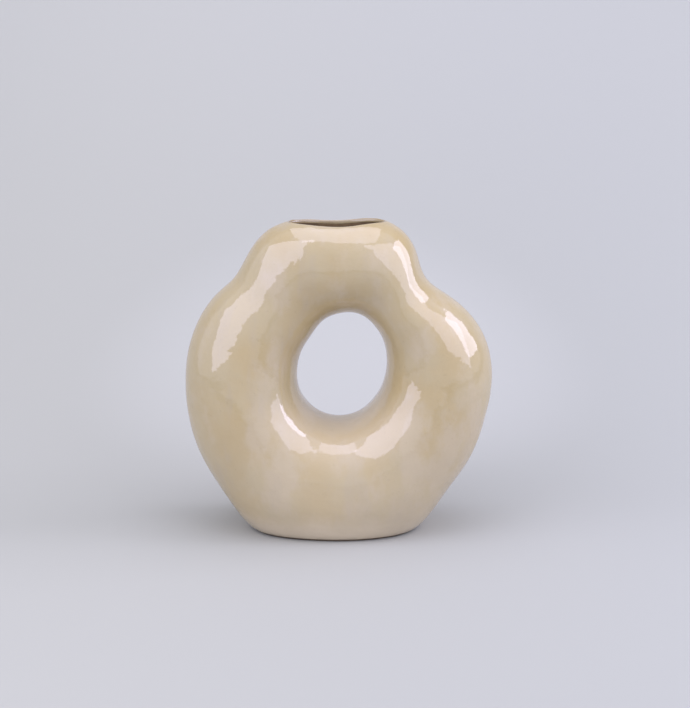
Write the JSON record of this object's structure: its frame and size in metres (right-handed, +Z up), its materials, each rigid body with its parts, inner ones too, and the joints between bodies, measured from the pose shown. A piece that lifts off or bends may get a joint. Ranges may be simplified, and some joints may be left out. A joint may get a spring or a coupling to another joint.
{
  "type": "donut vase",
  "caption": "Hollow ring-shaped ceramic vase with a leaning oval through-hole, an oval mouth in its crown and a flat foot. Holds stems and water.",
  "frame": {"origin": "centre of the bounding box in X and Y, on the surface that the vase stands on", "axes": "+X across the ring to the right as seen from the front, +Y from the front through the hole to the back, +Z up"},
  "size_m": [0.202, 0.094, 0.2043],
  "materials": {
    "fired_clay": "matt, unglazed",
    "beige_glaze": "high gloss, softly mottled",
    "liner_glaze": "gloss"
  },
  "bodies": {
    "root": {"clay_body": "fired_clay", "outer_glaze": "beige_glaze", "inner_glaze": "liner_glaze"}
  },
  "joints": []
}
